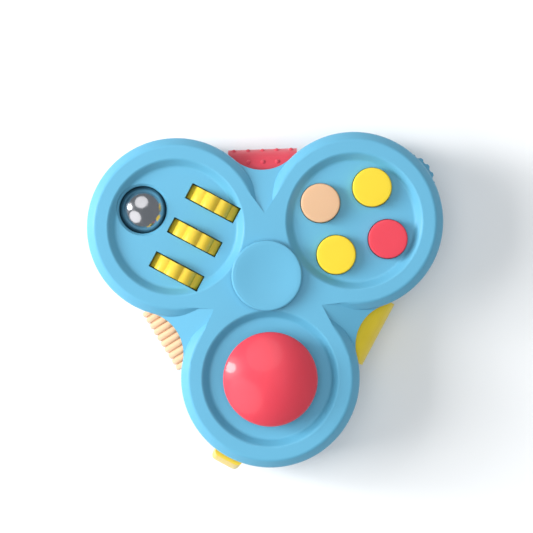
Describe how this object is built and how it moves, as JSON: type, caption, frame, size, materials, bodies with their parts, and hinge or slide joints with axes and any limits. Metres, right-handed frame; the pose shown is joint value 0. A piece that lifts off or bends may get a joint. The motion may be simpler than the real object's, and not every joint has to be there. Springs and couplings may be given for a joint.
{
  "type": "fidget pad",
  "caption": "Flat three-lobed spinning fidget pad with push buttons, a joystick, rollers, a rolling ball, an edge dial, a rocker switch and textured side pads on a central bearing.",
  "frame": {"origin": "on the spin axis, at the flat underside of the finger cap", "axes": "+Z out of the front face along the spin axis; the joystick lobe points along -Y, the button lobe towards +X and +Y, the roller lobe towards -X and +Y"},
  "size_m": [0.0862, 0.0817, 0.0288],
  "materials": {
    "shell_blue": "fine satin, light sky blue",
    "cap_blue": "fine satin, light sky blue",
    "dial_blue": "fine satin, light sky blue",
    "screw_steel": "zinc plated",
    "bearing_steel": "ground bearing steel",
    "pin_steel": "drawn pin stock",
    "spring_steel": "spring wire and strip",
    "ball_chrome": "mirror polished",
    "inner_plastic": "plain moulded grey, inside the body",
    "pad_red": "soft red silicone with raised nubs",
    "pad_tan": "soft tan silicone with raised ribs",
    "pad_yellow": "soft yellow silicone, smooth",
    "roller_yellow": "semi-gloss yellow",
    "button_tan": "satin tan",
    "button_red": "satin red",
    "button_yellow": "satin yellow",
    "joystick_red": "glossy red dome",
    "rocker_yellow": "semi-gloss yellow"
  },
  "bodies": {
    "hub": {"thumb_cap": "cap_blue", "finger_cap": "cap_blue", "bearing_inner_race": "bearing_steel"},
    "housing": {"front_shell": "shell_blue", "back_shell": "shell_blue", "shell_screws": "screw_steel", "bearing_outer_race": "bearing_steel", "bearing_shields": "bearing_steel", "nubbed_pad": "pad_red", "ribbed_pad": "pad_tan", "smooth_pad": "pad_yellow", "roller_frame": "inner_plastic", "roller_axle": "pin_steel", "roller_click_spring": "spring_steel", "ball_spring": "spring_steel", "spring_tan": "spring_steel", "spring_red": "spring_steel", "spring_yellow_outer": "spring_steel", "spring_yellow_inner": "spring_steel", "button_plate": "inner_plastic", "dial_axle": "pin_steel", "dial_click_spring": "spring_steel", "joystick_base": "inner_plastic", "joystick_spring": "spring_steel", "joystick_spring_seat": "inner_plastic", "rocker_pin": "pin_steel", "rocker_click_spring": "spring_steel"},
    "cage": {"bearing_cage": "inner_plastic", "bearing_balls": "bearing_steel"},
    "roller_a": {"roller_a": "roller_yellow"},
    "roller_b": {"roller_b": "roller_yellow"},
    "roller_c": {"roller_c": "roller_yellow"},
    "ball_carrier": {"ball_cup": "inner_plastic"},
    "ball": {"steel_ball": "ball_chrome"},
    "button_tan": {"button_tan": "button_tan"},
    "button_red": {"button_red": "button_red"},
    "button_yellow_outer": {"button_yellow_outer": "button_yellow"},
    "button_yellow_inner": {"button_yellow_inner": "button_yellow"},
    "dial": {"edge_dial": "dial_blue"},
    "gimbal": {"gimbal_ring": "inner_plastic"},
    "joystick": {"joystick_cap": "joystick_red", "joystick_stick": "inner_plastic", "joystick_pin": "pin_steel"},
    "rocker": {"rocker_switch": "rocker_yellow"}
  },
  "joints": [
    {"name": "body_spin", "type": "hinge", "parent": "hub", "child": "housing", "pos_m": [0, 0, 0.012], "axis": [0, 0, 1], "continuous": true},
    {"name": "cage_spin", "type": "hinge", "parent": "hub", "child": "cage", "pos_m": [0, 0, 0.012], "axis": [0, 0, 1], "continuous": true},
    {"name": "roller_a_spin", "type": "hinge", "parent": "housing", "child": "roller_a", "pos_m": [-0.01706, 0.00985, 0.016], "axis": [-0.5, -0.866, 0], "continuous": true},
    {"name": "roller_b_spin", "type": "hinge", "parent": "housing", "child": "roller_b", "pos_m": [-0.01706, 0.00985, 0.016], "axis": [-0.5, -0.866, 0], "continuous": true},
    {"name": "roller_c_spin", "type": "hinge", "parent": "housing", "child": "roller_c", "pos_m": [-0.01706, 0.00985, 0.016], "axis": [-0.5, -0.866, 0], "continuous": true},
    {"name": "ball_press", "type": "slide", "parent": "housing", "child": "ball_carrier", "axis": [0, 0, -1], "range_m": [0, 0.0008], "stiffness_N_per_m": 1500, "springref_m": -0.0005, "deforming": ["ball_spring"]},
    {"name": "ball_roll", "type": "hinge", "parent": "ball_carrier", "child": "ball", "pos_m": [-0.02936, 0.01695, 0.0165], "axis": [-0.5, -0.866, 0], "continuous": true},
    {"name": "button_tan_press", "type": "slide", "parent": "housing", "child": "button_tan", "axis": [0, 0, -1], "range_m": [0, 0.0012], "stiffness_N_per_m": 700, "springref_m": -0.0005, "deforming": ["spring_tan"]},
    {"name": "button_red_press", "type": "slide", "parent": "housing", "child": "button_red", "axis": [0, 0, -1], "range_m": [0, 0.0012], "stiffness_N_per_m": 700, "springref_m": -0.0005, "deforming": ["spring_red"]},
    {"name": "button_yellow_outer_press", "type": "slide", "parent": "housing", "child": "button_yellow_outer", "axis": [0, 0, -1], "range_m": [0, 0.0012], "stiffness_N_per_m": 700, "springref_m": -0.0005, "deforming": ["spring_yellow_outer"]},
    {"name": "button_yellow_inner_press", "type": "slide", "parent": "housing", "child": "button_yellow_inner", "axis": [0, 0, -1], "range_m": [0, 0.0012], "stiffness_N_per_m": 700, "springref_m": -0.0005, "deforming": ["spring_yellow_inner"]},
    {"name": "dial_turn", "type": "hinge", "parent": "housing", "child": "dial", "pos_m": [0.03442, 0.02129, 0.011], "axis": [0, 0, 1], "continuous": true},
    {"name": "joystick_sideways", "type": "hinge", "parent": "housing", "child": "gimbal", "pos_m": [0, -0.0248, 0.013], "axis": [0, -1, 0], "range_deg": [-10, 10], "stiffness_Nm_per_rad": 0.06},
    {"name": "joystick_up_down", "type": "hinge", "parent": "gimbal", "child": "joystick", "pos_m": [0, -0.0248, 0.013], "axis": [1, 0, 0], "range_deg": [-10, 10], "stiffness_Nm_per_rad": 0.06},
    {"name": "rocker_flip", "type": "hinge", "parent": "housing", "child": "rocker", "pos_m": [-0.00955, -0.04134, 0.012], "axis": [0.866, -0.5, 0], "range_deg": [0, 28]}
  ],
  "couplings": [
    {"joint": "cage_spin", "follows": "body_spin", "ratio": 0.632}
  ]
}
